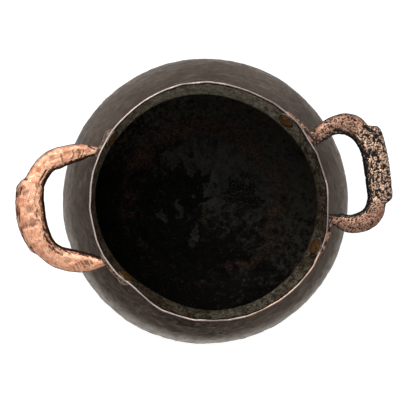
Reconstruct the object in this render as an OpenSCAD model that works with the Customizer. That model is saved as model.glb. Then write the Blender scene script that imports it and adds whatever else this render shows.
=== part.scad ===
// Hammered copper cooking bowl: one raised sheet with a necked, flaring collar,
// two cast loop handles and the four rivets that hold them.
// Millimetres. The origin is the middle of the flat base, +Z points up through
// the mouth and +X points to the right-hand handle. Azimuths are counted
// anticlockwise from +X, seen from above.

/* [Bowl] */
// Radius of the belly at its widest
belly_r = 163; // [161:0.5:164]
// Height of the widest part of the belly
belly_z = 100; // [97:0.5:101]
// Radius of the arc from the base up to the belly
lower_arc_r = 106; // [103:0.5:112]
// Radius of the arc from the belly up to the neck
upper_arc_r = 109; // [106:0.5:111]
// Height of the rim
rim_z = 212; // [211:0.5:215]
// Thickness of the sheet
wall = 1.8; // [1.4:0.1:2.2]

/* [Neck and collar] */
// Clear radius of the neck, the narrowest part of the mouth
neck_r = 117.3; // [116:0.1:119]
// Radius of the outside hollow between shoulder and collar
neck_fillet = 8; // [7:0.5:9]
// Outward lean of the collar from upright, in degrees
collar_lean = 20; // [17:1:23]

/* [Rivets] */
// Radius of the shank
shank_r = 4; // [3:0.25:5]
// Radius of the flattened head inside the mouth
inner_head_r = 8.5; // [7:0.25:8.5]
// Height of the flattened head inside the mouth
inner_head_h = 2.2; // [1.6:0.1:2.6]
// Radius of the domed head on the outside
outer_head_r = 7.5; // [6:0.25:8]
// Height of the domed head on the outside
outer_head_h = 3.5; // [2.5:0.25:4]

/* [Handles] */
// Azimuth that the left handle faces
left_azimuth = 184.2; // [183:0.1:186]
// Azimuth that the right handle faces
right_azimuth = 12.3; // [10.5:0.1:13.5]
// How much further out the loops stand than their outlines below
loop_out = 1; // [0:0.25:2]
// Upward slope of the handles, in degrees
handle_rise = 6; // [2:1:10]
// Height at which a handle leaves the collar
handle_z = 202; // [200:0.5:203]
// Thickness of the tangs against the collar
tang_t = 3.5; // [3:0.25:5]
// Width of the tangs up the collar
tang_w = 16.5; // [14:0.5:17]

/* [Hidden] */
$fn = 96;

PATINA = [0.34, 0.30, 0.28];
COPPER = [0.82, 0.56, 0.44];
WORN_COPPER = [0.70, 0.46, 0.36];
RIVET_BROWN = [0.44, 0.29, 0.16];

// Centres of the two belly arcs, and the angle at which the lower one meets the
// flat base, outside and inside
lower_x = belly_r - lower_arc_r;
upper_x = belly_r - upper_arc_r;
base_angle = asin(-belly_z / lower_arc_r);
inner_base_angle = asin((wall - belly_z) / (lower_arc_r - wall));

// Centre of the neck fillet, which touches the upper arc, and the angle there
fillet_x = neck_r + wall + neck_fillet;
fillet_z = belly_z + sqrt((upper_arc_r + neck_fillet) ^ 2 - (fillet_x - upper_x) ^ 2);
fillet = [fillet_x, fillet_z];
shoulder_angle = atan2(fillet_z - belly_z, fillet_x - upper_x);

// The collar's outer face starts at collar_start and runs along collar_dir
collar_dir = [sin(collar_lean), cos(collar_lean)];
collar_normal = [cos(collar_lean), -sin(collar_lean)];
collar_start = fillet - neck_fillet * collar_normal;
collar_len = (rim_z - wall / 2 - collar_start[1] - wall / 2 * sin(collar_lean)) / cos(collar_lean);
collar_end = collar_start + collar_len * collar_dir;
lip = collar_end - wall / 2 * collar_normal;

// Azimuths of the rivets, and of the places where the arms meet the collar
LEFT_REAR = 147;
LEFT_FRONT = 222;
RIGHT_REAR = 46.5;
RIGHT_FRONT = -23;
LEFT_REAR_ARM = 155.5;
LEFT_FRONT_ARM = 208.5;
RIGHT_REAR_ARM = 30;
RIGHT_FRONT_ARM = -9.5;

// The rivets sit at mid height of the collar
rivet_seat = collar_start + collar_len / 2 * collar_dir;

// Loops seen from above, from one tang round to the other. Each row gives the
// outer edge and the inner edge, as distance out from the bowl's axis and
// distance sideways, and then the thickness. The grip stands proud of the arms.
LEFT_ARM_A = [
    [108, 58, 109, 52, 12],
    [116, 60, 116, 51, 12],
    [125, 63, 125, 47, 12.5],
    [136, 65, 134, 44, 13],
    [150, 63, 143, 41, 14],
    [164, 59, 151, 39, 14],
    [175, 52, 157, 37, 14.5],
    [184, 43, 162, 34, 15],
];
LEFT_GRIP = [
    [190, 39, 165, 31, 15.5],
    [199, 22, 169, 22, 16],
    [203, 4, 172, 7, 16],
    [203, -13, 173, -7, 16],
    [201, -28, 173, -17, 16],
    [195, -37, 172, -26, 15.5],
];
LEFT_ARM_B = [
    [190, -40, 172, -28, 15],
    [180, -54, 168, -36, 14.5],
    [167, -64, 161, -44, 14],
    [154, -69, 154, -46, 14],
    [139, -71, 143, -50, 14],
    [127, -70, 130, -53, 13],
    [117, -67, 120, -56, 12.5],
    [107, -64, 109, -56, 12],
];
RIGHT_ARM_A = [
    [113, 49, 116, 33, 12],
    [122, 51, 122, 33, 12.5],
    [130, 55, 130, 36, 13],
    [139, 59, 138, 39, 13],
    [148, 61, 145, 41, 13.5],
    [158, 61, 152, 40, 14],
    [168, 58, 158, 37, 14],
    [176, 52, 163, 31, 14.5],
    [181, 43, 166, 24, 15],
];
RIGHT_GRIP = [
    [191, 40, 167, 21, 15.5],
    [194, 33, 168, 16, 16],
    [195, 15, 168, 7, 16],
    [194, -7, 167, -7, 16],
    [192, -27, 166, -20, 16],
    [190, -37, 165, -31, 15.5],
    [187, -40, 164, -34, 15.5],
];
RIGHT_ARM_B = [
    [182, -42, 163, -36, 15],
    [180, -48, 161, -40, 14.5],
    [176, -55, 158, -43, 14],
    [168, -62, 153, -45, 14],
    [157, -66, 148, -46, 14],
    [144, -66, 142, -46, 13.5],
    [133, -62, 136, -43, 13],
    [126, -56, 129, -42, 12.5],
    [120, -53, 122, -41, 12],
    [113, -51, 115, -40, 12],
];

// A handle's section is a squared ellipse whose inner side leans back
SECTION_POINTS = 16;
SECTION_POWER = 3.2;
INNER_DRAFT = 0.9;
RINGS_PER_ROW = 3;
LOOP_PIVOT = 118;

// Steps along each arc of the bowl's section
BELLY_STEPS = 20;
SHOULDER_STEPS = 18;
FILLET_STEPS = 8;
LIP_STEPS = 6;

// How far a tang runs past its rivet, and under the root of its arm
TANG_MARGIN = 8.5;
ARM_MARGIN = 7;

// A flattened head's bevel, the share of its height that is upright, and how far
// both heads are sunk before the surface they sit on is cut from them
HEAD_BEVEL = 2;
HEAD_EDGE = 0.6;
HEAD_SEAT = 0.6;

// Half the length of a rivet hole's cutter, and the span of the collar's cone
HOLE_DEPTH = 12;
CONE_LOW = 175;
CONE_TOP_MARGIN = 15;

function polar(angle) = [cos(angle), sin(angle)];

function arc(centre, r, from, to, steps) =
    [for (i = [0 : steps]) centre + r * polar(from + (to - from) * i / steps)];

function rest(points) = [for (i = [1 : len(points) - 1]) points[i]];

// Half of the bowl's section: up the outside, over the lip, down the inside
function bowl_profile() = concat(
    [[0, 0]],
    arc([lower_x, belly_z], lower_arc_r, base_angle, 0, BELLY_STEPS),
    rest(arc([upper_x, belly_z], upper_arc_r, 0, shoulder_angle, SHOULDER_STEPS)),
    rest(arc(fillet, neck_fillet, 180 + shoulder_angle, 180 - collar_lean, FILLET_STEPS)),
    arc(lip, wall / 2, -collar_lean, 180 - collar_lean, LIP_STEPS),
    arc(fillet, neck_fillet + wall, 180 - collar_lean, 180 + shoulder_angle, FILLET_STEPS),
    rest(arc([upper_x, belly_z], upper_arc_r - wall, shoulder_angle, 0, SHOULDER_STEPS)),
    rest(arc([lower_x, belly_z], lower_arc_r - wall, 0, inner_base_angle, BELLY_STEPS)),
    [[0, wall]]
);

// Everything inside the collar's outer face, moved out by gap
module collar_cone(gap) {
    run = tan(collar_lean);
    low = collar_start[0] - (collar_start[1] - CONE_LOW) * run + gap / cos(collar_lean);
    high = low + (rim_z + CONE_TOP_MARGIN - CONE_LOW) * run;
    translate([0, 0, CONE_LOW])
        cylinder(h = rim_z + CONE_TOP_MARGIN - CONE_LOW, r1 = low, r2 = high);
}

// Places children on the collar's outer face at mid height, with their +Z
// pointing out of the bowl and their +X pointing down the collar
module on_collar(azimuth) {
    rotate([0, 0, azimuth])
        translate([rivet_seat[0], 0, rivet_seat[1]])
            rotate([0, 90 + collar_lean, 0])
                children();
}

module rivet_hole(azimuth) {
    on_collar(azimuth)
        translate([0, 0, -HOLE_DEPTH])
            cylinder(h = 2 * HOLE_DEPTH, r = shank_r);
}

// Catmull-Rom blend of four rows, for t from 0 to 1 between the middle two
function blend(a, b, c, d, t) =
    b + 0.5 * t * (c - a + t * (2 * a - 5 * b + 4 * c - d + t * (3 * (b - c) + d - a)));

function smooth_rows(rows) = [
    for (i = [0 : len(rows) - 2], j = [0 : RINGS_PER_ROW - 1])
        blend(
            rows[max(i - 1, 0)], rows[i], rows[i + 1], rows[min(i + 2, len(rows) - 1)],
            j / RINGS_PER_ROW
        ),
    rows[len(rows) - 1]
];

function squared(c) = sign(c) * pow(abs(c), 2 / SECTION_POWER);

// One ring of the loop: across runs from the inner edge, -1, to the outer, 1
function ring(row) = [
    for (k = [0 : SECTION_POINTS - 1])
        let (
            angle = 360 * (k + 0.5) / SECTION_POINTS,
            across = squared(cos(angle)),
            up = squared(sin(angle)),
            outer = [row[0], row[1]],
            inner = [row[2], row[3]],
            draft = across < 0 ? INNER_DRAFT * up * (outer - inner) / norm(outer - inner) : [0, 0],
            place = (outer + inner) / 2 + across * (outer - inner) / 2 + draft
        )
        [place[0], place[1], up * row[4] / 2]
];

// The solid through all rings, closed at both ends
module swept_loop(rows) {
    n = SECTION_POINTS;
    last = (len(rows) - 1) * n;
    sides = [
        for (i = [0 : len(rows) - 2], k = [0 : n - 1])
            let (a = i * n + k, b = i * n + (k + 1) % n)
            each [[a, a + n, b], [b, a + n, b + n]]
    ];
    ends = [[for (k = [0 : n - 1]) k], [for (k = [n - 1 : -1 : 0]) last + k]];
    polyhedron(points = [for (row = rows) each ring(row)], faces = concat(sides, ends));
}

// Strap against the collar, from the arm's root to just past its rivet
module tang(arm_azimuth, rivet_azimuth) {
    per_degree = rivet_seat[0] * PI / 180;
    side = sign(rivet_azimuth - arm_azimuth);
    from = arm_azimuth * per_degree - side * ARM_MARGIN;
    to = rivet_azimuth * per_degree + side * TANG_MARGIN;
    reach = abs(to - from) / 2 - tang_w / 2;
    intersection() {
        difference() {
            collar_cone(tang_t);
            collar_cone(0);
        }
        on_collar((from + to) / 2 / per_degree)
            translate([0, 0, -HOLE_DEPTH])
                linear_extrude(2 * HOLE_DEPTH) {
                    translate([0, -reach])
                        circle(r = tang_w / 2);
                    translate([0, reach])
                        circle(r = tang_w / 2);
                    square([tang_w, 2 * reach], center = true);
                }
    }
}

// One casting: the loop with its grip, and the two tangs that turn away from it
module handle(azimuth, rows, arms, rivets) {
    difference() {
        union() {
            rotate([0, 0, azimuth])
                translate([LOOP_PIVOT + loop_out, 0, handle_z])
                    rotate([0, -handle_rise, 0])
                        translate([-LOOP_PIVOT, 0, 0])
                            swept_loop(rows);
            for (i = [0, 1])
                tang(arms[i], rivets[i]);
        }
        collar_cone(0);
        for (i = [0, 1])
            rivet_hole(rivets[i]);
    }
}

module rivet(azimuth) {
    dome_r = (outer_head_r ^ 2 + outer_head_h ^ 2) / (2 * outer_head_h);
    edge_h = inner_head_h * HEAD_EDGE;
    color(RIVET_BROWN) {
        on_collar(azimuth)
            translate([0, 0, -wall - inner_head_h / 2])
                cylinder(h = wall + inner_head_h / 2 + tang_t + outer_head_h / 2, r = shank_r);
        intersection() {
            collar_cone(-wall);
            on_collar(azimuth)
                translate([0, 0, -wall - inner_head_h]) {
                    cylinder(h = inner_head_h - edge_h, r1 = inner_head_r - HEAD_BEVEL, r2 = inner_head_r);
                    translate([0, 0, inner_head_h - edge_h])
                        cylinder(h = edge_h + HEAD_SEAT, r = inner_head_r);
                }
        }
        difference() {
            on_collar(azimuth)
                intersection() {
                    translate([0, 0, tang_t + outer_head_h - dome_r])
                        sphere(r = dome_r);
                    translate([0, 0, tang_t - HEAD_SEAT])
                        cylinder(h = outer_head_h + 2 * HEAD_SEAT, r = outer_head_r);
                }
            collar_cone(tang_t);
        }
    }
}

module body() {
    color(PATINA)
        difference() {
            rotate_extrude()
                polygon(bowl_profile());
            for (azimuth = [LEFT_REAR, LEFT_FRONT, RIGHT_REAR, RIGHT_FRONT])
                rivet_hole(azimuth);
        }
}

module handle_left() {
    rows = concat(smooth_rows(LEFT_ARM_A), smooth_rows(LEFT_GRIP), smooth_rows(LEFT_ARM_B));
    color(COPPER)
        handle(left_azimuth, rows, [LEFT_FRONT_ARM, LEFT_REAR_ARM], [LEFT_FRONT, LEFT_REAR]);
}

module handle_right() {
    rows = concat(smooth_rows(RIGHT_ARM_A), smooth_rows(RIGHT_GRIP), smooth_rows(RIGHT_ARM_B));
    color(WORN_COPPER)
        handle(right_azimuth, rows, [RIGHT_REAR_ARM, RIGHT_FRONT_ARM], [RIGHT_REAR, RIGHT_FRONT]);
}

body();
handle_left();
handle_right();
rivet(LEFT_REAR);  // rivet_left_rear
rivet(LEFT_FRONT);  // rivet_left_front
rivet(RIGHT_REAR);  // rivet_right_rear
rivet(RIGHT_FRONT);  // rivet_right_front
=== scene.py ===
"""Looks of a hammered copper cooking bowl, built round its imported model.

The raised sheet, the two cast handles and the four rivets are each stood for by
one detailed piece. Everything is in metres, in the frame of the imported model:
the origin is the middle of the base, +Z goes up through the mouth and +X points
to the right-hand handle. Azimuths are degrees anticlockwise from +X.
"""

import math

import bmesh
import bpy
import numpy as np
from mathutils import Matrix, Vector, noise
from mathutils.kdtree import KDTree


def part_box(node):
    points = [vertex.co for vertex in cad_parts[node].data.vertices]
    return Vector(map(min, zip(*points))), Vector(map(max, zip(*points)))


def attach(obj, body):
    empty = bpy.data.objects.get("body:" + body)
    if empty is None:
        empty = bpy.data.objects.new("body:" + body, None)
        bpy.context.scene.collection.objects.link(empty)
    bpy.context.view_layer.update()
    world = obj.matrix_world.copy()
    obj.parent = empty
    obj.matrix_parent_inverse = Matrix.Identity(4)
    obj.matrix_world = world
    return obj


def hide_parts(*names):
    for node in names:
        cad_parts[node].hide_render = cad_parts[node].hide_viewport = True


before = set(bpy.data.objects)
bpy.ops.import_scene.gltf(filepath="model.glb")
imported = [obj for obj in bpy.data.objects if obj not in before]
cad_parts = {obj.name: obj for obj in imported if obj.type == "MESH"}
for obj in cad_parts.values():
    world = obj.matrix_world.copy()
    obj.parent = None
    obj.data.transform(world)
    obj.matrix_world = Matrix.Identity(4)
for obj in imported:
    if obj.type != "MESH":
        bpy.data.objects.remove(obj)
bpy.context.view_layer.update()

MM = 0.001

# The bowl's section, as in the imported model
WALL = 1.8 * MM
BELLY_Z = 100 * MM
LOWER_ARC = 106 * MM
UPPER_ARC = 109 * MM
NECK_R = 117.3 * MM
NECK_FILLET = 8 * MM
LEAN = math.radians(20)
BELLY_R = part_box("body")[1].x
RIM_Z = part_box("body")[1].z

# Rows of faces along each stretch of the section, and columns round the bowl
COLUMNS = 384
BASE_ROWS = 20
LOWER_ROWS = 44
UPPER_ROWS = 40
FILLET_ROWS = 9
COLLAR_ROWS = 13
LIP_ROWS = 4

# Radius of the circle that noise follows where it varies only round the bowl
RIM_R = 125 * MM
# The most that a hammer blow raises or lowers the sheet
DEEPEST_BLOW = 0.5 * MM

# How the hand-made sheet strays from a true circle: (azimuth, spread, mm outward)
RIM_BUMPS = [
    (25, 22, -1.3), (68, 10, -2.0), (125, 25, 1.0), (185, 20, 0.3),
    (218, 8, -1.2), (230, 7.5, -4.4), (300, 18, 2.4), (339, 18, 3.7),
]
NECK_BUMPS = [(57, 28, -4.8), (130, 20, 1.0), (178, 22, 4.6), (240, 16, -3.8), (300, 25, 1.2)]
# How far below the neck its bumps fade out
SHOULDER_REACH = 60 * MM

# Keeps the base clear of the floor it stands on
FLOOR_GAP = 0.1 * MM

# Azimuths at which the hammered rim turns a corner, nearly straight in between
RIM_TURNS = [
    8, 24, 41, 57, 70, 83, 91, 103, 112, 123, 134, 145, 156, 166, 183, 199, 207, 219,
    232, 247, 263, 279, 289, 305, 317, 328, 345, 368,
]
# How straight (1 is a straight line), and how far out the rim goes to make up for it
RIM_STRAIGHTNESS = 0.6
RIM_OUT = 0.8 * MM

# Where the outside is more heavily hammered, and where the collar's lining is stained:
# (azimuth, spread, amount)
ROUGH_AZIMUTHS = [(205, 18, 0.4), (262, 32, 1.0), (330, 20, 0.3)]
STAIN_AZIMUTHS = [(190, 34, 1.0), (235, 16, 0.55), (272, 28, 0.5), (345, 26, 0.65), (15, 24, 0.5)]

# Middles of the marks on the floor of the bowl: grey crust, burnt black, and flaked away
GREY_PATCH = (0.022, 0.030, 0)
BURNT_PATCH = (-0.024, 0.016, 0)
FLAKED_PATCH = (0.048, 0.006, 0)

LEFT_AZIMUTH = 184.2
RIGHT_AZIMUTH = 12.3
RIVETS = {
    "rivet_left_rear": 147,
    "rivet_left_front": 222,
    "rivet_right_rear": 46.5,
    "rivet_right_front": -23,
}
# Thickness of a handle's tang
TANG_T = 3.5 * MM
# The left front tang stays straight between these azimuths, where the rim is dented in
TANG_STRAIGHT_FROM = 225
TANG_STRAIGHT_TO = 260


# ------------------------------------------------------------------ small tools


def smoothstep(x):
    x = np.clip(x, 0.0, 1.0)
    return x * x * (3 - 2 * x)


def noise_at(points, size, seed):
    """Smooth noise from -1 to 1 at each point, with lumps about size metres apart."""
    shift = Vector((seed * 7.31, seed * 3.17, seed * 5.73))
    return np.array([noise.noise(Vector(p) / size + shift) for p in points])


def polar_of(points):
    """(distance from the bowl's axis, azimuth in degrees) of each point."""
    return np.hypot(points[:, 0], points[:, 1]), np.degrees(np.arctan2(points[:, 1], points[:, 0]))


def set_attribute(mesh, name, values):
    layer = mesh.attributes.new(name, "FLOAT", "POINT")
    layer.data.foreach_set("value", np.asarray(values, np.float32))


def new_piece(name, points, faces):
    mesh = bpy.data.meshes.new(name)
    mesh.from_pydata([tuple(p) for p in points], [], faces)
    mesh.validate()
    mesh.shade_smooth()
    piece = bpy.data.objects.new(name, mesh)
    bpy.context.scene.collection.objects.link(piece)
    return piece


def mesh_arrays(mesh):
    """(points, normals) of a mesh's vertices."""
    points = np.empty(len(mesh.vertices) * 3)
    normals = np.empty(len(mesh.vertices) * 3)
    mesh.vertices.foreach_get("co", points)
    mesh.vertices.foreach_get("normal", normals)
    return points.reshape(-1, 3), normals.reshape(-1, 3)


def rows_to_faces(rows, columns):
    """Quads between rings of points, with a fan onto a middle point at each end."""
    ring = np.arange(columns)
    after = (ring + 1) % columns
    faces = []
    for row in range(rows - 1):
        low, high = row * columns, (row + 1) * columns
        faces += np.column_stack([low + ring, low + after, high + after, high + ring]).tolist()
    start, end = rows * columns, rows * columns + 1
    faces += [[start, b, a] for a, b in zip(ring.tolist(), after.tolist())]
    last = (rows - 1) * columns
    faces += [[end, last + a, last + b] for a, b in zip(ring.tolist(), after.tolist())]
    return faces


# ------------------------------------------------------------- shape of the sheet


def arc(centre, radius, start, end, rows):
    angles = np.linspace(start, end, rows + 1)
    return np.column_stack([centre[0] + radius * np.cos(angles), centre[1] + radius * np.sin(angles)])


def section_middle():
    """Points (r, z) along the middle of the sheet, from the base's middle to the rim."""
    half = WALL / 2
    lower = (BELLY_R - LOWER_ARC, BELLY_Z)
    upper = (BELLY_R - UPPER_ARC, BELLY_Z)
    base_angle = -math.asin((BELLY_Z - half) / (LOWER_ARC - half))
    fillet_r = NECK_R + WALL + NECK_FILLET
    fillet_z = BELLY_Z + math.sqrt((UPPER_ARC + NECK_FILLET) ** 2 - (fillet_r - upper[0]) ** 2)
    shoulder = math.atan2(fillet_z - BELLY_Z, fillet_r - upper[0])
    lower_arc = arc(lower, LOWER_ARC - half, base_angle, 0, LOWER_ROWS)
    upper_arc = arc(upper, UPPER_ARC - half, 0, shoulder, UPPER_ROWS)
    fillet = arc(
        (fillet_r, fillet_z), NECK_FILLET + half, math.pi + shoulder, math.pi - LEAN, FILLET_ROWS
    )
    base = np.column_stack(
        [np.linspace(2 * MM, lower_arc[0][0], BASE_ROWS + 1), np.full(BASE_ROWS + 1, half)]
    )
    length = (RIM_Z - half - fillet[-1][1]) / math.cos(LEAN)
    along = np.linspace(0, length, COLLAR_ROWS + 1)[:, None]
    collar = fillet[-1] + along * np.array([math.sin(LEAN), math.cos(LEAN)])
    return np.vstack([base, lower_arc[1:], upper_arc[1:], fillet[1:], collar[1:]]), fillet_z


SECTION, NECK_Z = section_middle()


def section_normals(line):
    step = np.gradient(line, axis=0)
    step /= np.linalg.norm(step, axis=1)[:, None]
    return np.column_stack([step[:, 1], -step[:, 0]])


def bumps(azimuth, table):
    """Sum of smooth bumps round the bowl."""
    total = np.zeros_like(azimuth, dtype=float)
    for centre, spread, height in table:
        away = (azimuth - centre + 180) % 360 - 180
        total += height * np.exp(-0.5 * (away / spread) ** 2)
    return total


def rim_flats(azimuth):
    """How far the rim falls inside its circle between the corners it turns."""
    turned = np.radians((np.asarray(azimuth, float) - RIM_TURNS[0]) % 360 + RIM_TURNS[0])
    corners = np.radians(RIM_TURNS)
    after = np.clip(np.searchsorted(corners, turned), 1, len(corners) - 1)
    half = (corners[after] - corners[after - 1]) / 2
    middle = (corners[after] + corners[after - 1]) / 2
    flat = np.cos(half) / np.cos(turned - middle) - 1
    return RIM_OUT + SECTION[-1][0] * RIM_STRAIGHTNESS * flat


def sheet_shift(azimuth, z):
    """How far the sheet strays outward at this azimuth and height."""
    azimuth, z = np.asarray(azimuth, float), np.asarray(z, float)
    up = np.clip((z - NECK_Z) / (RIM_Z - NECK_Z), 0, 1)
    below = smoothstep((z - NECK_Z + SHOULDER_REACH) / SHOULDER_REACH)
    neck = bumps(azimuth, NECK_BUMPS) * MM * below
    rim = bumps(azimuth, RIM_BUMPS) * MM + rim_flats(azimuth)
    return neck * (1 - up) + rim * up


def tang_shift(azimuth, z):
    """The same for a tang, which bridges the dent in the rim."""
    azimuth = np.asarray(azimuth, float) % 360
    bridged = (azimuth > TANG_STRAIGHT_FROM) & (azimuth < TANG_STRAIGHT_TO)
    return sheet_shift(np.where(bridged, TANG_STRAIGHT_FROM, azimuth), z)


def collar_outer_r(azimuth, z):
    """Radius of the collar's outer face."""
    end = SECTION[-1]
    straight = end[0] + (z - end[1]) * math.tan(LEAN) + WALL / 2 / math.cos(LEAN)
    return straight + sheet_shift(azimuth, z)


def collar_gap(points):
    """How far each point lies outside the middle of the true collar's sheet."""
    end = SECTION[-1]
    return polar_of(points)[0] - (end[0] + (points[:, 2] - end[1]) * math.tan(LEAN))


# ---------------------------------------------------------------- hammer marks


class HammerMarks:
    """Flat facets left by hammer blows spread over a surface of revolution."""

    def __init__(self, line, normals, spacing, tilt, seed):
        rng = np.random.default_rng(seed)
        steps = np.r_[0, np.cumsum(np.linalg.norm(np.diff(line, axis=0), axis=1))]
        centres, facings = [], []
        for s in np.arange(spacing / 2, steps[-1], spacing):
            radius = np.interp(s, steps, line[:, 0])
            count = max(3, round(2 * math.pi * radius / spacing))
            for k in range(count):
                here = np.clip(s + rng.uniform(-0.4, 0.4) * spacing, 0, steps[-1])
                angle = 2 * math.pi * (k + rng.uniform(-0.4, 0.4)) / count
                r, z = np.interp(here, steps, line[:, 0]), np.interp(here, steps, line[:, 1])
                nr, nz = np.interp(here, steps, normals[:, 0]), np.interp(here, steps, normals[:, 1])
                facing = np.array([nr * math.cos(angle), nr * math.sin(angle), nz])
                facing += rng.normal(0, tilt, 3)
                centres.append((r * math.cos(angle), r * math.sin(angle), z))
                facings.append(facing / np.linalg.norm(facing))
        self.centres, self.facings = np.array(centres), np.array(facings)
        self.tree = KDTree(len(centres))
        for i, centre in enumerate(centres):
            self.tree.insert(centre, i)
        self.tree.balance()

    def height(self, points, normals, limit):
        """Height of the nearest facets over each point, between plus and minus limit."""
        result = np.empty(len(points))
        for i, (point, normal) in enumerate(zip(points, normals)):
            near = [n[1] for n in self.tree.find_n(point, 3)]
            facing = self.facings[near]
            planes = ((self.centres[near] - point) * facing).sum(1) / (facing @ normal)
            result[i] = planes.min()
        return np.clip(result, -limit, limit)


# ------------------------------------------------------------------- the body


def revolve(line, angles):
    return np.stack(
        [
            line[:, 0, None] * np.cos(angles)[None, :],
            line[:, 0, None] * np.sin(angles)[None, :],
            np.broadcast_to(line[:, 1, None], (len(line), len(angles))),
        ],
        axis=-1,
    ).reshape(-1, 3)


def build_body():
    angles = np.linspace(0, 2 * math.pi, COLUMNS, endpoint=False)
    normals = section_normals(SECTION)
    end, tip = SECTION[-1], normals[-1]
    start = math.atan2(tip[1], tip[0])
    lip = arc(end, WALL / 2, start, start + math.pi, LIP_ROWS)[1:-1]
    outer, inner = SECTION + normals * WALL / 2, SECTION - normals * WALL / 2
    line = np.vstack([outer, lip, inner[::-1]])
    facing = np.vstack([normals, (lip - end) / (WALL / 2), -normals[::-1]])
    points = revolve(line, angles)
    directions = revolve(facing, angles)
    directions /= np.linalg.norm(directions, axis=1)[:, None]
    count = len(SECTION)
    side = np.repeat(np.r_[np.zeros(count + len(lip)), np.ones(count)], COLUMNS)
    travel = np.r_[0, np.cumsum(np.linalg.norm(np.diff(line, axis=0), axis=1))]
    apex = travel[count - 1] + math.pi * WALL / 4
    edge = np.repeat(np.abs(travel - apex), COLUMNS)

    # blows from outside leave facets, and blows from inside shallow dimples
    r, azimuth = polar_of(points)
    outside = HammerMarks(outer, normals, spacing=10.5 * MM, tilt=0.058, seed=11)
    inside = HammerMarks(inner, normals, spacing=14 * MM, tilt=0.03, seed=12)
    height = np.zeros(len(points))
    is_out = side < 0.5
    calm = smoothstep((edge - 0.5 * MM) / (3 * MM))
    rough = np.clip(bumps(azimuth, ROUGH_AZIMUTHS), 0, 1)
    height[is_out] = outside.height(points[is_out], directions[is_out], DEEPEST_BLOW)
    height[is_out] *= 0.75 + 0.4 * rough[is_out]
    pitting = noise_at(points[is_out], 9 * MM, 8)
    height[is_out] += 0.35 * MM * rough[is_out] * pitting
    height[~is_out] = -inside.height(points[~is_out], -directions[~is_out], DEEPEST_BLOW)
    points += directions * (height * calm)[:, None]

    # slow waves in the sheet move both faces together
    wave = 0.5 * MM * noise_at(points, 55 * MM, 3) + 0.25 * MM * noise_at(points, 22 * MM, 4)
    wave *= smoothstep((points[:, 2] - 4 * MM) / (20 * MM))
    outward = sheet_shift(azimuth, points[:, 2]) + wave
    turn = np.radians(azimuth)
    rim = RIM_R * np.column_stack([np.cos(turn), np.sin(turn), 0 * turn])
    near_rim = smoothstep((points[:, 2] - NECK_Z) / (RIM_Z - NECK_Z))
    outward += near_rim * 0.45 * MM * noise_at(rim, 16 * MM, 5)
    grown = (r + outward) / np.maximum(r, 1e-6)
    points[:, 0] *= grown
    points[:, 1] *= grown
    points[:, 2] += near_rim * 0.5 * MM * (noise_at(rim, 60 * MM, 6) - 0.6)
    points[:, 2] = np.maximum(points[:, 2], FLOOR_GAP)

    middles = np.array([[0, 0, points[0, 2]], [0, 0, points[-1, 2]]])
    faces = rows_to_faces(len(line), COLUMNS)
    piece = new_piece("body_hammered", np.vstack([points, middles]), faces)
    mesh = piece.data
    mesh.materials.append(patina_material())
    mesh.materials.append(lining_material())
    inner_first = (count + len(lip) // 2) * COLUMNS
    inner_faces = [min(face) >= inner_first and len(points) not in face for face in faces]
    mesh.polygons.foreach_set("material_index", np.array(inner_faces, np.int32))
    stain = np.clip(bumps(azimuth, STAIN_AZIMUTHS), 0, 1)
    set_attribute(mesh, "edge_mm", np.r_[edge, 1, 1] / MM)
    set_attribute(mesh, "along_mm", np.r_[np.repeat(travel, COLUMNS), 0, travel[-1]] / MM)
    set_attribute(mesh, "rough", np.r_[rough, 0, 0])
    set_attribute(mesh, "stain", np.r_[stain, 0, 0])
    return piece


# ----------------------------------------------------------------- the handles


def remeshed_copy(node, name, size, smoothing):
    """A new piece with the node's shape in even, fine faces."""
    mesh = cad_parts[node].data.copy()
    work = bmesh.new()
    work.from_mesh(mesh)
    bmesh.ops.remove_doubles(work, verts=work.verts, dist=1e-6)
    work.to_mesh(mesh)
    work.free()
    piece = bpy.data.objects.new(name, mesh)
    bpy.context.scene.collection.objects.link(piece)
    even = piece.modifiers.new("even", "REMESH")
    even.mode = "VOXEL"
    even.voxel_size = size
    soften = piece.modifiers.new("soften", "SMOOTH")
    soften.factor = 0.5
    soften.iterations = smoothing
    shown = piece.evaluated_get(bpy.context.evaluated_depsgraph_get())
    final = bpy.data.meshes.new_from_object(shown)
    piece.modifiers.clear()
    piece.data = final
    final.materials.clear()
    final.shade_smooth()
    return piece


def handle_coordinates(points, azimuth):
    """Distance out from the axis towards the grip, and distance sideways."""
    a = math.radians(azimuth)
    out = points[:, 0] * math.cos(a) + points[:, 1] * math.sin(a)
    aside = -points[:, 0] * math.sin(a) + points[:, 1] * math.cos(a)
    return out, aside


def follow_collar(points):
    """Moves a handle's tangs with the collar, fading out along its arms."""
    r, azimuth = polar_of(points)
    held = 1 - smoothstep((collar_gap(points) - 6 * MM) / (24 * MM))
    grown = (r + tang_shift(azimuth, points[:, 2]) * held) / r
    points[:, 0] *= grown
    points[:, 1] *= grown


def dent(out, aside, centre, radius, depth):
    """How deep a soft round dent is at each point."""
    away = np.hypot(out - centre[0] * MM, aside - centre[1] * MM) / (radius * MM)
    return depth * MM * smoothstep(1.25 - away)


def groove(out, aside, start, end, width, depth):
    """How deep a line pressed in from start to end is at each point."""
    a, b = np.array(start) * MM, np.array(end) * MM
    span = b - a
    t = np.clip(((out - a[0]) * span[0] + (aside - a[1]) * span[1]) / (span @ span), 0, 1)
    away = np.hypot(out - a[0] - t * span[0], aside - a[1] - t * span[1])
    return depth * MM * np.exp(-((away / (width * MM)) ** 2))


# Middle of each loop's sweep, from the bowl's axis, and about how far its metal lies from it
LOOP_MIDDLE = 118 * MM
LOOP_REACH = 62 * MM
# Put back on the castings, which remeshing and smoothing make thinner
CASTING_SWELL = 0.25 * MM

# Places on a handle are (mm out from the bowl's axis less LOOP_OUT, mm sideways), and the
# widths, radii and depths that go with them are in mm too
LOOP_OUT = 1 * MM

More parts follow.
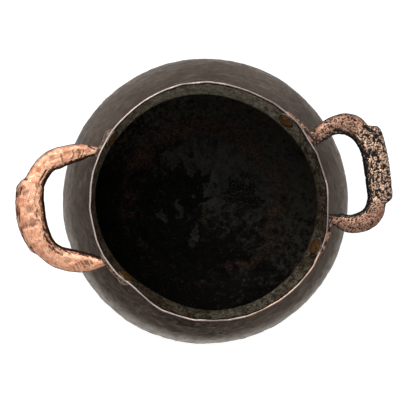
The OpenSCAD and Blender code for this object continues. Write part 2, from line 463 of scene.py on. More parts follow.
# Short chisel strokes by the left handle's front tang, and curved ones by the rear tang
FRONT_HATCH = [
    ((147, 58), (145, 62)), ((144, 55), (141.5, 61)), ((141, 54), (139, 58)), ((138.5, 53), (135, 60)),
    ((134.5, 53), (132.5, 56.5)), ((132, 52.5), (129.5, 58)), ((128.5, 53), (126.5, 57)),
]
REAR_GROOVES = [
    ((151, -60), (149.5, -52)), ((139, -64), (137.5, -60)), ((137.5, -60), (139.5, -55)),
    ((132.5, -64), (130.5, -60)), ((130.5, -60), (133, -56)), ((126.5, -63), (128.5, -57)),
]

# Dark scores along the left handle's edges
EDGE_SCORES = [
    ((199, -33), (195.5, -36.5)), ((195.5, -36.5), (191, -38.5)), ((191, -38.5), (188, -36.5)),
    ((200, -27), (201.5, -16.5)), ((197.5, -27.5), (199, -19.5)), ((194.5, -28.5), (196.5, -21.5)),
    ((200.5, -10), (201.5, 1.5)), ((198.5, -6.5), (199, 7)), ((198, 13.5), (196.5, 24)),
    ((173.5, 22.5), (171, 28)), ((171.5, 28), (167.5, 32.5)), ((170, 34), (166.5, 39)),
    ((166, 36), (163.5, 42)), ((163.5, 40.5), (157.5, 44.5)), ((167.5, -44.5), (173.5, -35.5)),
    ((190, 34), (186.5, 39.5)), ((120.5, -67.5), (114.5, -63)),
]

# A small ring pressed into the left handle: place, radius, width, depth
LEFT_RING = ((177, -30), 1.9, 0.6, 0.45)

# Black blots in the right handle: (place, radius)
RIGHT_BLOTS = [
    ((177, 44), 4), ((188, 35), 3.5), ((177, 31), 3.5), ((168, 52), 4), ((180, 13), 6),
    ((185, -18), 5), ((176, -30), 5), ((185, -36), 4), ((177, -51), 3), ((125, 38), 4),
    ((124, 47), 4), ((143, -60), 3), ((146, 45), 3),
]

# Where the right handle's tangs thicken towards its arms: (azimuth, spread, mm)
RIGHT_FLARES = [(35, 4.5, 2.4), (26.5, 2, 1.2), (-10, 3.5, 1.6)]

# Deep lines that part the right handle's arms from its tangs: (start, end, width)
RIGHT_CUTS = [
    ((124.5, -58), (124.5, -54), 1.6), ((124.5, -54), (126, -51), 1.1), ((126, -51), (131, -49.5), 0.9),
    ((117, 52), (120, 45), 1.3), ((120, 45), (123, 40), 1.5), ((124, 40), (127, 44), 1.2),
]

# Soft dents on the top of the left handle: (place, radius, depth)
LEFT_DENTS = [
    ((187, -5), 4.5, 0.9), ((179, 0), 4, 0.8), ((185, 10), 5, 1.0), ((191, -22), 4.5, 0.8),
    ((193, -28), 3.5, 0.7), ((201, -22), 3, 0.8), ((202, -2), 3.5, 0.8), ((188, 34), 4, 0.6),
    ((169, 28), 3.5, 0.5), ((160, -57), 4, 0.5), ((153, 52), 4.5, 0.7), ((132, -62), 3.5, 0.6),
    ((178, 42), 4, 0.5), ((143, -61), 4.5, 0.4), ((175, -46), 4, 0.4), ((194, 12), 4, 0.6),
    ((120, -62), 5, 0.6), ((133, 57), 6, 0.35),
]


def finish_handle(piece, points, normals, azimuth, height, recess, worn):
    """Moves the points out by height, seats the tangs and stores what the metal's shader reads."""
    out, aside = handle_coordinates(points, azimuth)
    sweep = np.arctan2(aside, out - LOOP_MIDDLE) * LOOP_REACH
    across = np.hypot(aside, out - LOOP_MIDDLE)
    facing_out, facing_aside = handle_coordinates(normals, azimuth)
    inward = -(facing_out * (out - LOOP_MIDDLE) + facing_aside * aside) / across
    near_wall = 1 - smoothstep((collar_gap(points) - TANG_T) / (5 * MM))
    points = points + normals * (height + CASTING_SWELL)[:, None]
    follow_collar(points)
    piece.data.vertices.foreach_set("co", points.ravel())
    piece.data.update()
    set_attribute(piece.data, "recess", recess)
    set_attribute(piece.data, "near_wall", near_wall)
    set_attribute(piece.data, "worn", worn)
    set_attribute(piece.data, "inward", smoothstep(inward * 2.2 + 0.2))
    set_attribute(piece.data, "sweep_mm", sweep / MM)
    set_attribute(piece.data, "across_mm", across / MM)
    return piece


def build_left_handle():
    piece = remeshed_copy("handle_left", "handle_left_cast", 0.6 * MM, 3)
    points, normals = mesh_arrays(piece.data)
    out, aside = handle_coordinates(points, LEFT_AZIMUTH)
    out -= LOOP_OUT
    top = smoothstep(normals[:, 2] * 1.6)
    blur = 1.3 * MM * noise_at(points, 4 * MM, 24)
    pressed = np.zeros(len(points))
    for place, radius, depth in LEFT_DENTS:
        pressed = np.maximum(pressed, dent(out + blur, aside, place, radius, depth) * top)
    cuts = np.zeros(len(points))
    for start, end in FRONT_HATCH + REAR_GROOVES:
        cuts = np.maximum(cuts, groove(out + 0.3 * blur, aside, start, end, 0.8, 0.5) * top)
    not_below = smoothstep(1 + normals[:, 2])
    for start, end in EDGE_SCORES:
        score = groove(out, aside + 0.3 * blur, start, end, 1.0, 0.75)
        cuts = np.maximum(cuts, score * not_below)
    centre, radius, width, depth = LEFT_RING
    away = np.hypot(out - centre[0] * MM, aside - centre[1] * MM) - radius * MM
    cuts = np.maximum(cuts, depth * MM * np.exp(-((away / (width * MM)) ** 2)) * top)
    lumps = 0.5 * MM * noise_at(points, 17 * MM, 21) + 0.25 * MM * noise_at(points, 6 * MM, 22)
    nicks = smoothstep((noise_at(points, 3.2 * MM, 23) - 0.42) / 0.2) * (1 - top)
    height = lumps - pressed - cuts - 0.5 * MM * nicks
    scuffed = 0.55 + 0.45 * smoothstep(noise_at(points, 1.8 * MM, 25) + 0.5)
    in_dents = 0.62 * pressed / (0.9 * MM) * scuffed
    in_cuts = 0.8 * cuts / (0.5 * MM) * scuffed
    recess = np.clip(in_dents + in_cuts + 0.5 * nicks, 0, 1)
    worn = np.ones(len(points))
    return finish_handle(piece, points, normals, LEFT_AZIMUTH, height, recess, worn)


def flare_tangs(points, table):
    """Thickens the tangs where the arms spring from them."""
    r, azimuth = polar_of(points)
    gap = collar_gap(points)
    held = smoothstep((gap - 0.5 * MM) / (2 * MM)) * (1 - smoothstep((gap - 5 * MM) / (5 * MM)))
    grown = 1 + bumps(azimuth, table) * MM * held / r
    points[:, 0] *= grown
    points[:, 1] *= grown


def build_right_handle():
    piece = remeshed_copy("handle_right", "handle_right_cast", 0.55 * MM, 3)
    points, normals = mesh_arrays(piece.data)
    flare_tangs(points, RIGHT_FLARES)
    out, aside = handle_coordinates(points, RIGHT_AZIMUTH)
    out -= LOOP_OUT
    grip = smoothstep((out - 160 * MM) / (12 * MM)) * smoothstep((46 * MM - np.abs(aside)) / (10 * MM))
    coarse = noise_at(points, 3.7 * MM, 31) + 0.9 * noise_at(points, 1.9 * MM, 32)
    fine = noise_at(points, 1.5 * MM, 33) + 0.5 * noise_at(points, 0.9 * MM, 36)
    patch = noise_at(points, 16 * MM, 34)
    blots = np.zeros(len(points))
    for place, radius in RIGHT_BLOTS:
        blots = np.maximum(blots, dent(out, aside, place, radius, 1) / MM)
    top = smoothstep(normals[:, 2] * 1.6)
    edge = (1 - smoothstep((normals[:, 2] - 0.35) / 0.5)) * (1 - top * 0.4)
    pits = smoothstep((coarse + 0.32 * grip + 0.30 * patch + 0.42 * blots + 0.18 * edge - 0.52) / 0.12)
    specks = smoothstep((fine + 0.20 * grip + 0.15 * edge - 0.21) / 0.12)
    cuts = np.zeros(len(points))
    for start, end, width in RIGHT_CUTS:
        cuts = np.maximum(cuts, groove(out, aside, start, end, width, 1.0) * top / MM)
    pits = np.maximum(pits, cuts)
    pitted = np.maximum(pits, 0.9 * specks)
    lumps = 0.35 * MM * noise_at(points, 12 * MM, 35)
    height = lumps - 0.8 * MM * pits - 0.3 * MM * specks * (1 - pits)
    return finish_handle(piece, points, normals, RIGHT_AZIMUTH, height, pitted, grip)


# ------------------------------------------------------------------ the rivets


# How the inner and outer heads bend round the collar
INNER_BEND = 128 * MM
OUTER_BEND = 134 * MM


def collar_place(azimuth):
    """(origin, axes) on the collar's outer face: down it, along it and out of it."""
    z = NECK_Z + NECK_FILLET * math.sin(LEAN)
    z = (z + RIM_Z) / 2 - 0.5 * MM

    def on_face(angle, height):
        r = float(collar_outer_r(angle, height))
        a = math.radians(angle)
        return np.array([r * math.cos(a), r * math.sin(a), height])

    down = on_face(azimuth, z - 4 * MM) - on_face(azimuth, z + 4 * MM)
    along = on_face(azimuth + 2, z) - on_face(azimuth - 2, z)
    down /= np.linalg.norm(down)
    out = np.cross(down, along)
    out /= np.linalg.norm(out)
    return on_face(azimuth, z), np.array([down, np.cross(out, down), out])


def build_rivet(node, azimuth, seed):
    """One rivet: flattened head inside the mouth, shank, domed head on the tang."""
    head, skirt, shank, dome = 8.6 * MM, 9.8 * MM, 4 * MM, 7.6 * MM
    head_h, dome_h, columns = 2.1 * MM, 3.4 * MM, 64
    seat, tang = -WALL, TANG_T
    inner = [(head * t, seat - head_h * (1 - 0.55 * t**2.6)) for t in np.linspace(0.04, 1, 16)]
    inner += [(head * 1.02, seat - head_h * 0.25), (head * 1.03, seat - 0.3 * MM)]
    inner += [(skirt, seat - 0.12 * MM), (skirt * 0.99, seat + 0.5 * MM)]
    middle = [(shank, seat + 0.6 * MM), (shank, tang - 0.6 * MM)]
    outer = [(dome, tang - 0.6 * MM), (dome * 1.01, tang + 0.5 * MM)]
    outer += [(dome * t, tang + 0.5 * MM + dome_h * (1 - t**2.2)) for t in np.linspace(0.96, 0.04, 14)]
    line = np.array(inner + middle + outer)
    angles = np.linspace(0, 2 * math.pi, columns, endpoint=False)
    local = revolve(line, angles)
    ends = np.array([[0, 0, line[0, 1]], [0, 0, line[-1, 1]]])
    local = np.vstack([local, ends])

    # heads are hammered a little out of round, with flats on them
    across = np.hypot(local[:, 0], local[:, 1])
    turn = np.column_stack([local[:, 0], local[:, 1], 0 * across]) / np.maximum(across, 1e-6)[:, None]
    wide = smoothstep((across - 4.5 * MM) / (3 * MM))
    uneven = 1 + 0.055 * noise_at(turn, 0.9, seed) * wide
    local[:, 0] *= uneven
    local[:, 1] *= uneven
    flats = noise_at(local, 4.2 * MM, seed + 40)
    shown = (local[:, 2] < seat - 0.5 * MM) | (local[:, 2] > tang + 0.6 * MM)
    local[:, 2] += np.where(shown, 0.32 * MM * flats, 0)

    # both heads follow the curve of the collar
    bend = np.where(local[:, 2] < 0, INNER_BEND, OUTER_BEND)
    local[:, 2] -= local[:, 1] ** 2 / (2 * bend)
    origin, axes = collar_place(azimuth)
    piece = new_piece(node + "_hammered", origin + local @ axes, rows_to_faces(len(line), columns))
    rim = np.where(local[:, 2] < 0, smoothstep((across - head * 0.99) / (0.6 * MM)), 0)
    set_attribute(piece.data, "tinned", rim)
    set_attribute(piece.data, "head_edge", np.clip(across / head, 0, 1))
    return piece


# ------------------------------------------------------------------- materials


class Shader:
    """A node material under construction, with short names for common nodes."""

    def __init__(self, name):
        self.material = bpy.data.materials.new(name)
        self.material.use_nodes = True
        self.tree = self.material.node_tree
        self.base = self.tree.nodes["Principled BSDF"]
        self.place = self.tree.nodes.new("ShaderNodeTexCoord").outputs["Object"]

    def link(self, source, socket):
        """Gives a socket a number, a colour or another node's output."""
        if isinstance(source, (int, float)):
            socket.default_value = source
        elif isinstance(source, tuple):
            socket.default_value = (*source, 1.0)
        else:
            self.tree.links.new(source, socket)

    def attribute(self, name):
        node = self.tree.nodes.new("ShaderNodeAttribute")
        node.attribute_name = name
        return node.outputs["Fac"]

    def combine(self, x, y, z):
        node = self.tree.nodes.new("ShaderNodeCombineXYZ")
        for value, socket in zip((x, y, z), node.inputs):
            self.link(value, socket)
        return node.outputs[0]

    def vector(self, kind, a, b=(0, 0, 0)):
        node = self.tree.nodes.new("ShaderNodeVectorMath")
        node.operation = kind
        self.tree.links.new(a, node.inputs[0])
        node.inputs[1].default_value = b
        return node.outputs["Value" if kind in ("LENGTH", "DISTANCE") else "Vector"]

    def plan(self):
        """The place seen from above, with its height left out."""
        return self.vector("MULTIPLY", self.place, (1, 1, 0))

    def from_axis(self):
        return self.vector("LENGTH", self.plan())

    def gap_from(self, point):
        return self.vector("DISTANCE", self.plan(), point)

    def around_bowl(self, long_mm, wide_mm):
        """Coordinates for marks of this size, drawn out round the bowl."""
        turn = self.split(self.vector("NORMALIZE", self.plan()))
        reach = BELLY_R / MM / long_mm
        x = self.maths("MULTIPLY", turn["X"], reach)
        y = self.maths("MULTIPLY", turn["Y"], reach)
        along = self.maths("DIVIDE", self.attribute("along_mm"), wide_mm)
        return self.combine(x, y, along)

    def along_loop(self, long_mm, wide_mm):
        """Coordinates for marks of this size, drawn out along a handle."""
        sweep = self.maths("DIVIDE", self.attribute("sweep_mm"), long_mm)
        across = self.maths("DIVIDE", self.attribute("across_mm"), wide_mm)
        height = self.maths("DIVIDE", self.split(self.place)["Z"], wide_mm * MM)
        return self.combine(sweep, across, height)

    def noise(self, size_mm, detail=4.0, rough=0.55, vector=None):
        """Noise with lumps of this size, or of size 1 in coordinates of its own."""
        node = self.tree.nodes.new("ShaderNodeTexNoise")
        node.inputs["Scale"].default_value = 1.0 if vector else 1 / (size_mm * MM)
        node.inputs["Detail"].default_value = detail
        node.inputs["Roughness"].default_value = rough
        self.tree.links.new(vector or self.place, node.inputs["Vector"])
        return node.outputs["Fac"]

    def maths(self, kind, a, b=0.0, clamp=False):
        node = self.tree.nodes.new("ShaderNodeMath")
        node.operation = kind
        node.use_clamp = clamp
        self.link(a, node.inputs[0])
        self.link(b, node.inputs[1])
        return node.outputs[0]

    def remap(self, value, low, high, to_low=0.0, to_high=1.0):
        """Goes smoothly from to_low at low to to_high at high, and stays there beyond them."""
        node = self.tree.nodes.new("ShaderNodeMapRange")
        node.interpolation_type = "SMOOTHSTEP"
        for name, number in (
            ("From Min", low), ("From Max", high), ("To Min", to_low), ("To Max", to_high)
        ):
            node.inputs[name].default_value = number
        self.link(value, node.inputs["Value"])
        return node.outputs["Result"]

    def mix(self, factor, a, b, kind="MIX"):
        node = self.tree.nodes.new("ShaderNodeMix")
        node.data_type = "RGBA"
        node.blend_type = kind
        self.link(factor, node.inputs["Factor"])
        self.link(a, node.inputs["A"])
        self.link(b, node.inputs["B"])
        return node.outputs["Result"]

    def blend(self, factor, a, b):
        """A number between a and b."""
        node = self.tree.nodes.new("ShaderNodeMix")
        self.link(factor, node.inputs["Factor"])
        self.link(a, node.inputs["A"])
        self.link(b, node.inputs["B"])
        return node.outputs["Result"]

    def split(self, vector):
        node = self.tree.nodes.new("ShaderNodeSeparateXYZ")
        self.tree.links.new(vector, node.inputs[0])
        return node.outputs

    def facing_up(self):
        node = self.tree.nodes.new("ShaderNodeNewGeometry")
        return self.split(node.outputs["Normal"])["Z"]

    def bump(self, height, distance_mm, strength=1.0, under=None):
        node = self.tree.nodes.new("ShaderNodeBump")
        node.inputs["Distance"].default_value = distance_mm * MM
        self.link(strength, node.inputs["Strength"])
        self.tree.links.new(height, node.inputs["Height"])
        if under is not None:
            self.tree.links.new(under, node.inputs["Normal"])
        return node.outputs["Normal"]

    def finish(self, **values):
        """The material, with these values on the shader's own sockets."""
        for name, value in values.items():
            socket = name.replace("_", " ").title().replace("Ior", "IOR")
            self.link(value, self.base.inputs[socket])
        return self.material


def bowl_wear(s, side_shade, side_rough, side_metal):
    """Blends one face of the sheet into the rubbed metal of the rim."""
    edge = s.attribute("edge_mm")
    worn = s.remap(s.maths("ADD", edge, s.remap(s.noise(4, 4), 0.3, 0.7, -0.25, 0.25)), 1.5, 0.95)
    shine = s.remap(s.noise(24, 4, 0.6), 0.35, 0.62, 1.0, 0.45)
    place = s.split(s.place)
    front_right = s.remap(s.maths("SUBTRACT", place["X"], place["Y"]), 0.150, 0.168, 0.0, 0.3)
    rubbed = s.remap(s.maths("ADD", s.noise(38, 3), front_right), 0.60, 0.72)
    copper = s.mix(rubbed, (0.54, 0.43, 0.39), (0.60, 0.40, 0.31))
    shine = s.maths("ADD", shine, s.remap(place["X"], 0.0, -0.12, 0.0, 0.35), True)
    shade = s.mix(s.maths("MULTIPLY", worn, shine), side_shade, copper)
    return shade, s.blend(worn, side_rough, 0.38), s.blend(worn, side_metal, 0.85)


def patina_material():
    """Outside: dark brown patina with drawn-out hammer streaks, rougher at the front."""
    s = Shader("brown_copper_patina")
    rough_part = s.attribute("rough")
    place = s.split(s.place)
    height = place["Z"]
    streaks = s.noise(1, 5, 0.62, s.around_bowl(17, 2.0))
    scratches = s.noise(1, 4, 0.65, s.around_bowl(14, 0.9))
    clouds, mottle, grain = s.noise(60, 5), s.noise(7, 6, 0.68), s.noise(1.5, 4, 0.6)
    shade = s.mix(s.remap(clouds, 0.35, 0.65), (0.062, 0.049, 0.040), (0.088, 0.071, 0.060))
    streaked = s.remap(s.noise(30, 4), 0.40, 0.60, 0.25, 0.8)
    drawn = s.maths("MULTIPLY", s.remap(streaks, 0.47, 0.68), streaked)
    shade = s.mix(drawn, shade, (0.150, 0.124, 0.104))
    shade = s.mix(s.remap(scratches, 0.54, 0.72, 0.0, 0.75), shade, (0.022, 0.016, 0.013))
    # painted shade: the right side (+X) of the shell is darkened
    shade = s.mix(s.remap(place["X"], 0.05, 0.14, 0.0, 0.35), shade, (0.026, 0.019, 0.016))

    # the roughly hammered part: darker, partly as painted shade on the front, with spots, light strokes
    # that are painted highlights, and dark strokes
    shade = s.mix(s.maths("MULTIPLY", rough_part, 0.9), shade, (0.022, 0.0145, 0.0100))
    spots = s.maths("MULTIPLY", s.remap(mottle, 0.46, 0.66), s.remap(rough_part, 0.0, 1.0, 0.10, 0.30))
    shade = s.mix(spots, shade, (0.085, 0.060, 0.042))
    strokes = s.noise(1, 5, 0.6, s.around_bowl(9, 1.7))
    # painted highlights: light strokes for glints off the hammer facets, more of them higher up
    lights = s.maths("MULTIPLY", s.remap(strokes, 0.50, 0.70), rough_part)
    lights = s.maths("MULTIPLY", lights, s.remap(s.noise(13, 4), 0.38, 0.62, 0.15, 0.85))
    lights = s.maths("MULTIPLY", lights, s.remap(height, 0.10, 0.145, 0.30, 1.0))
    shade = s.mix(lights, shade, (0.165, 0.132, 0.105))
    darks = s.maths("MULTIPLY", s.remap(strokes, 0.46, 0.36), rough_part)
    shade = s.mix(s.maths("MULTIPLY", darks, 0.8), shade, (0.008, 0.005, 0.003))
    shade = s.mix(s.remap(grain, 0.56, 0.74, 0.0, 0.7), shade, (0.014, 0.010, 0.008))

    # painted reflection: pale round the belly's widest part, where the sides would mirror the white
    # floor
    painted_reflection_band = s.maths("MULTIPLY", s.remap(height, 0.158, 0.132), s.remap(height, 0.050, 0.100))
    painted_reflection_band = s.maths("MULTIPLY", painted_reflection_band, s.remap(s.noise(9, 5, 0.65), 0.36, 0.60, 0.40, 0.85))
    shade = s.mix(s.maths("MULTIPLY", painted_reflection_band, rough_part), shade, (0.37, 0.342, 0.310))

    rough = s.remap(mottle, 0.3, 0.7, 0.34, 0.52)
    shade, rough, metal = bowl_wear(s, shade, rough, 0.8)
    normal = s.bump(mottle, 0.55, s.remap(rough_part, 0, 1, 0.25, 1.0))
    normal = s.bump(strokes, 0.70, s.remap(rough_part, 0, 1, 0.15, 1.0), normal)
    normal = s.bump(streaks, 0.25, 0.9, normal)
    normal = s.bump(grain, 0.10, 0.7, s.bump(scratches, 0.16, 0.8, normal))
    return s.finish(
        base_color=shade, roughness=rough, metallic=metal, normal=normal,
        specular_ior_level=0.1, specular_tint=(0.68, 0.64, 0.61),
    )


def lining_material():
    """Inside: old tin on the collar, and soot from the neck down."""
    s = Shader("sooty_tin_lining")
    edge, stained = s.attribute("edge_mm"), s.attribute("stain")
    place, radius = s.split(s.place), s.from_axis()
    mottle, fleck = s.noise(7, 6, 0.7), s.noise(2.6, 5, 0.7)

    # the floor: soot, mottled and crusted, and lighter to the rear and right as painted light, with a
    # grey, a burnt and a flaked patch, pale specks kept to the rear as painted light, a reddish ring at
    # its edge, rust and crumbs
    # painted light: lit grows towards the rear and right and lightens the soot there
    lit = s.maths("MULTIPLY", s.maths("ADD", place["X"], place["Y"]), 0.9)
    crust_and_painted_light = s.remap(s.maths("ADD", mottle, lit), 0.44, 0.66)
    soot = s.mix(crust_and_painted_light, (0.0022, 0.0020, 0.0016), (0.0270, 0.0245, 0.0180))
    crusting_and_painted_light = s.remap(s.maths("ADD", s.noise(42, 4), lit), 0.40, 0.58)
    soot = s.mix(crusting_and_painted_light, (0.0014, 0.0012, 0.0009), soot)
    ragged = s.remap(s.noise(38, 6, 0.62), 0.25, 0.75, -0.050, 0.050)
    patch = s.remap(s.maths("ADD", s.gap_from(GREY_PATCH), ragged), 0.058, 0.053)
    grey = s.remap(s.noise(9, 6, 0.75), 0.38, 0.62)
    grey = s.mix(grey, (0.0100, 0.0098, 0.0090), (0.0270, 0.0266, 0.0245))
    soot = s.mix(patch, soot, grey)
    frayed = s.remap(s.noise(13, 6, 0.65), 0.3, 0.7, -0.013, 0.013)
    burnt = s.maths("ADD", s.gap_from(BURNT_PATCH), s.maths("MULTIPLY", frayed, 1.4))
    soot = s.mix(s.remap(burnt, 0.031, 0.0285), soot, (0.0012, 0.0010, 0.0008))
    flaked = s.remap(s.maths("ADD", s.gap_from(FLAKED_PATCH), frayed), 0.021, 0.0185)
    grit = s.remap(s.noise(1.6, 4, 0.7), 0.54, 0.64)
    grit = s.mix(grit, (0.0020, 0.0019, 0.0016), (0.045, 0.043, 0.036))
    soot = s.mix(flaked, soot, grit)
    # painted light: the pale specks are kept to the rear, which is made lighter
    specks = s.remap(s.noise(4, 6, 0.75), 0.48, 0.64)
    specks = s.maths("MULTIPLY", s.remap(place["Y"], 0.02, 0.08), specks)
    soot = s.mix(s.maths("MULTIPLY", specks, 0.6), soot, (0.070, 0.058, 0.042))
    ring = s.maths("MULTIPLY", s.remap(radius, 0.074, 0.088), s.remap(radius, 0.108, 0.094))
    broken = s.maths("ADD", s.noise(30, 5, 0.65), place["Y"])
    ring = s.maths("MULTIPLY", ring, s.remap(broken, 0.44, 0.62))
    crusty = s.mix(s.remap(fleck, 0.4, 0.65), (0.010, 0.005, 0.003), (0.085, 0.043, 0.028))
    soot = s.mix(s.maths("MULTIPLY", ring, 0.7), soot, crusty)
    rust = s.maths("MULTIPLY", s.remap(fleck, 0.58, 0.70), s.remap(s.noise(24, 4), 0.48, 0.62))
    soot = s.mix(s.maths("MULTIPLY", rust, 0.8), soot, (0.060, 0.040, 0.028))
    crumbs = s.remap(s.noise(1.7, 4, 0.65), 0.57, 0.67)
    crumbs = s.maths("MULTIPLY", crumbs, s.remap(s.noise(15, 5, 0.6), 0.42, 0.60))
    soot = s.mix(s.maths("MULTIPLY", crumbs, 0.8), soot, (0.040, 0.035, 0.027))

    # the collar: mottled tin, paler at the rear as painted light, brown where stained, dark under the
    # rim
    tin = s.mix(s.remap(mottle, 0.40, 0.60), (0.020, 0.016, 0.010), (0.112, 0.099, 0.071))
    # painted light: the rear of the lining is made paler
    tin = s.mix(s.remap(place["Y"], 0.06, 0.12, 0.0, 0.40), tin, (0.140, 0.122, 0.090))
    tin = s.mix(s.remap(fleck, 0.53, 0.66, 0.0, 0.85), tin, (0.235, 0.215, 0.170))
    tin = s.mix(s.remap(fleck, 0.44, 0.34, 0.0, 0.8), tin, (0.020, 0.015, 0.009))
    brown = s.mix(s.remap(fleck, 0.45, 0.70), (0.0060, 0.0032, 0.0016), (0.048, 0.025, 0.011))
    stained = s.maths("ADD", stained, s.remap(s.noise(18, 5, 0.65), 0.5, 0.72, -0.1, 0.5), True)
    tin = s.mix(s.maths("MULTIPLY", stained, 0.85), tin, brown)
    tin = s.mix(s.remap(edge, 4.4, 2.2), tin, (0.008, 0.0045, 0.0030))
    neck = s.maths("ADD", place["Z"], s.remap(mottle, 0.3, 0.7, -1.5 * MM, 1.5 * MM))
    shade = s.mix(s.remap(neck, NECK_Z - 5 * MM, NECK_Z + 1 * MM), soot, tin)

    rough = s.remap(mottle, 0.3, 0.7, 0.55, 0.85)
    shade, rough, metal = bowl_wear(s, shade, rough, 0.0)
    normal = s.bump(fleck, 0.35, 0.6, s.bump(mottle, 0.8, 0.5))
    return s.finish(
        base_color=shade, roughness=rough, metallic=metal, normal=normal, specular_ior_level=0.04
    )


def cast_copper(
    name, bright, mid, dark, black, rubbed, tang_pale, tang_dark, speckle, ridge, polish, band
):
    """Cast copper: rubbed on top, streaked along the loop, dark in recesses, with a painted highlight
    on the inner edge and painted shade on the flanks.

    speckle, ridge and polish are how strong the dark grain, the rubbed inner edge with its painted
    highlight and the rubbed grip are, and band is how far the painted shade of the inner flank comes
    up.
    """
    s = Shader(name)
    recess, wall, inward = s.attribute("recess"), s.attribute("near_wall"), s.attribute("inward")
    worn = s.attribute("worn")
    up = s.facing_up()
    clouds, mottle, grain = s.noise(11, 5, 0.6), s.noise(3.6, 5, 0.65), s.noise(0.8, 3, 0.6)
    streaks = s.noise(1, 4, 0.6, s.along_loop(7, 0.9))
    shade = s.mix(s.remap(clouds, 0.38, 0.62), mid, bright)
    shade = s.mix(s.maths("MULTIPLY", worn, polish), shade, rubbed)
    shade = s.mix(s.remap(streaks, 0.50, 0.68, 0.0, 0.7), shade, dark)
    hairs = s.noise(1, 3, 0.6, s.along_loop(16, 0.7))
    shade = s.mix(s.remap(hairs, 0.56, 0.68, 0.0, 0.5), shade, dark)
    shade = s.mix(s.remap(mottle, 0.54, 0.70, 0.0, 0.65), shade, dark)
    shade = s.mix(s.remap(grain, 0.58, 0.76, 0.0, speckle), shade, dark)

    # a painted highlight, partly rubbed metal, where the top turns down, then painted shade, partly
    # oxide, on the dark flank
    tilt = s.maths("ADD", up, s.remap(mottle, 0.3, 0.7, -0.10, 0.10))
    ragged = s.remap(s.noise(1, 4, 0.6, s.along_loop(5, 1.6)), 0.35, 0.65, -0.11, 0.11)
    turned = s.maths("ADD", s.maths("ADD", tilt, ragged), s.blend(inward, -0.12, -band))
    shoulder = s.maths("MULTIPLY", s.remap(turned, 0.62, 0.70), s.remap(turned, 0.84, 0.74))
    shoulder = s.maths("MULTIPLY", shoulder, s.remap(s.noise(6, 3), 0.40, 0.60, 0.3, 1.0))
    rubbed_edge_and_highlight = s.maths("MULTIPLY", s.blend(worn, 0.35, 1.0), s.blend(inward, 0.3, ridge))
    shade = s.mix(s.maths("MULTIPLY", shoulder, rubbed_edge_and_highlight), shade, rubbed)
    # painted shade: a brown band, then the dark flank, on the inner side
    browned_flank_shade = s.maths("MULTIPLY", s.remap(turned, 0.64, 0.56), inward)
    shade = s.mix(s.maths("MULTIPLY", browned_flank_shade, 0.8), shade, dark)
    flank_shade = s.remap(turned, 0.54, 0.42)
    side = s.mix(s.remap(streaks, 0.52, 0.66, 0.0, 0.55), black, dark)
    shade = s.mix(s.maths("MULTIPLY", flank_shade, s.blend(inward, 0.95, 1.0)), shade, side)
    # the tangs against the collar are mottled between tang_dark and tang_pale; the dark is partly
    # patina and partly painted shade under the rim
    shade = s.mix(wall, shade, s.mix(s.remap(mottle, 0.40, 0.60), tang_dark, tang_pale))
    shade = s.mix(recess, shade, black)
    rough = s.blend(recess, s.remap(mottle, 0.3, 0.7, 0.38, 0.54), 0.8)
    metal = s.blend(recess, s.blend(flank_shade, 0.92, 0.55), 0.2)
    normal = s.bump(grain, 0.12, 0.6, s.bump(streaks, 0.30, 0.7, s.bump(mottle, 0.45, 0.6)))
    return s.finish(
        base_color=shade, roughness=rough, metallic=metal, normal=normal, specular_ior_level=0.15
    )


def left_handle_material():
    return cast_copper(
        "rubbed_cast_copper",
        bright=(0.83, 0.43, 0.28), mid=(0.66, 0.30, 0.18), dark=(0.20, 0.085, 0.048),
        black=(0.020, 0.008, 0.004), rubbed=(0.98, 0.66, 0.45),
        tang_pale=(0.24, 0.16, 0.11), tang_dark=(0.060, 0.040, 0.028),
        speckle=0.5, ridge=0.9, polish=0.0, band=0.31,
    )


def right_handle_material():
    return cast_copper(
        "pitted_cast_copper",
        bright=(0.40, 0.215, 0.145), mid=(0.26, 0.138, 0.093), dark=(0.042, 0.024, 0.019),
        black=(0.010, 0.0085, 0.0085), rubbed=(0.95, 0.67, 0.48),
        tang_pale=(0.40, 0.235, 0.16), tang_dark=(0.022, 0.015, 0.012),
        speckle=0.95, ridge=0.95, polish=0.45, band=0.34,
    )


def rivet_material():
    s = Shader("hammered_rivet")
    tinned, head_edge = s.attribute("tinned"), s.attribute("head_edge")
    mottle = s.noise(3.5, 5, 0.6)
    shade = s.mix(s.remap(mottle, 0.35, 0.7), (0.170, 0.074, 0.018), (0.040, 0.019, 0.006))
    shade = s.mix(s.remap(s.noise(2.2, 4, 0.65), 0.52, 0.64), shade, (0.012, 0.006, 0.003))
    shade = s.mix(s.remap(head_edge, 0.74, 1.0, 0.0, 0.85), shade, (0.012, 0.006, 0.003))
    tin = s.mix(s.remap(s.noise(9, 4), 0.40, 0.60), (0.030, 0.024, 0.016), (0.22, 0.20, 0.165))
    shade = s.mix(tinned, shade, tin)
    rough = s.remap(mottle, 0.3, 0.7, 0.36, 0.55)
    normal = s.bump(s.noise(1.2, 4), 0.12, 0.6)
    return s.finish(base_color=shade, roughness=rough, metallic=0.55, normal=normal)


# ------------------------------------------------------- stage, light and camera


FLOOR_HALF = 6.0
PAPER_GREY = 0.46
PAPER_GLOW = 0.77
SKY_STRENGTH = 0.6

# Soft lamps: (name, place, side in metres, watts), all aimed at one point
LAMPS = [
    ("key", (-0.5, 1.2, 2.2), 1.5, 42),
    ("fill", (1.3, -0.9, 2.0), 1.6, 6),
]
LAMPS_AIM = (0, 0, 0.12)

# The camera's eye is this far above the rim, and it looks at a point in the rim's plane
EYE_ABOVE_RIM = 1.25
EYE_XY = (-0.0525, 0.0025)
TARGET_XY = (-0.0018, -0.0069)
SENSOR_MM = 36
LENS_MM = 102.7


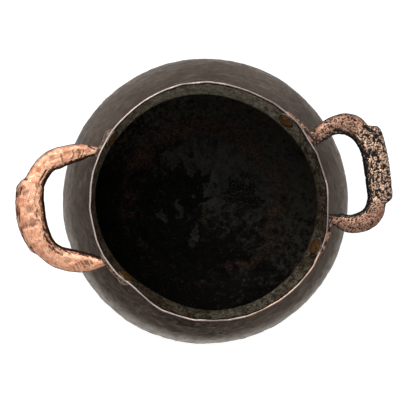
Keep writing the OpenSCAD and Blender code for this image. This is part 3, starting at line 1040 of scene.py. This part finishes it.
def build_stage():
    h = FLOOR_HALF
    floor = new_piece("floor", [(-h, -h, 0), (h, -h, 0), (h, h, 0), (-h, h, 0)], [[0, 1, 2, 3]])
    paper = bpy.data.materials.new("white_paper")
    paper.use_nodes = True
    base = paper.node_tree.nodes["Principled BSDF"]
    base.inputs["Base Color"].default_value = (PAPER_GREY, PAPER_GREY, PAPER_GREY, 1)
    base.inputs["Roughness"].default_value = 0.9
    base.inputs["Emission Color"].default_value = (1, 1, 1, 1)
    base.inputs["Emission Strength"].default_value = PAPER_GLOW
    floor.data.materials.append(paper)

    world = bpy.data.worlds.new("soft_studio")
    world.use_nodes = True
    sky = world.node_tree.nodes["Background"]
    sky.inputs["Color"].default_value = (1, 1, 1, 1)
    sky.inputs["Strength"].default_value = SKY_STRENGTH
    bpy.context.scene.world = world
    bpy.context.scene.view_settings.view_transform = "Standard"

    for name, place, size, power in LAMPS:
        lamp = bpy.data.lights.new(name, "AREA")
        lamp.size = size
        lamp.energy = power
        lamp_object = bpy.data.objects.new(name, lamp)
        lamp_object.location = place
        aim = Vector(LAMPS_AIM) - Vector(place)
        lamp_object.rotation_euler = aim.to_track_quat("-Z", "Y").to_euler()
        bpy.context.scene.collection.objects.link(lamp_object)


def build_camera():
    """Looks almost straight down, from a little to the left, with +X to the right."""
    eye = Vector((*EYE_XY, RIM_Z + EYE_ABOVE_RIM))
    target = Vector((*TARGET_XY, RIM_Z))
    back = (eye - target).normalized()
    right = (Vector((1, 0, 0)) - back * back.x).normalized()
    up = back.cross(right)
    lens = bpy.data.cameras.new("camera")
    lens.sensor_width = SENSOR_MM
    lens.lens = LENS_MM
    lens.clip_end = 50
    camera = bpy.data.objects.new("camera", lens)
    axes = Matrix((right, up, back)).transposed()
    camera.matrix_world = Matrix.Translation(eye) @ axes.to_4x4()
    bpy.context.scene.collection.objects.link(camera)
    bpy.context.scene.camera = camera


# -------------------------------------------------------------------- assembly

build_camera()
build_stage()

shown = [
    (build_body(), "body", "body", None),
    (build_left_handle(), "handle_left", "handle_left", left_handle_material()),
    (build_right_handle(), "handle_right", "handle_right", right_handle_material()),
]
rivet_finish = rivet_material()
for index, (node, azimuth) in enumerate(RIVETS.items()):
    shown.append((build_rivet(node, azimuth, 50 + index), node, "rivet", rivet_finish))

for piece, node, slot, finish in shown:
    if finish:
        piece.data.materials.append(finish)
    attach(piece, "root")
    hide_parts(node)
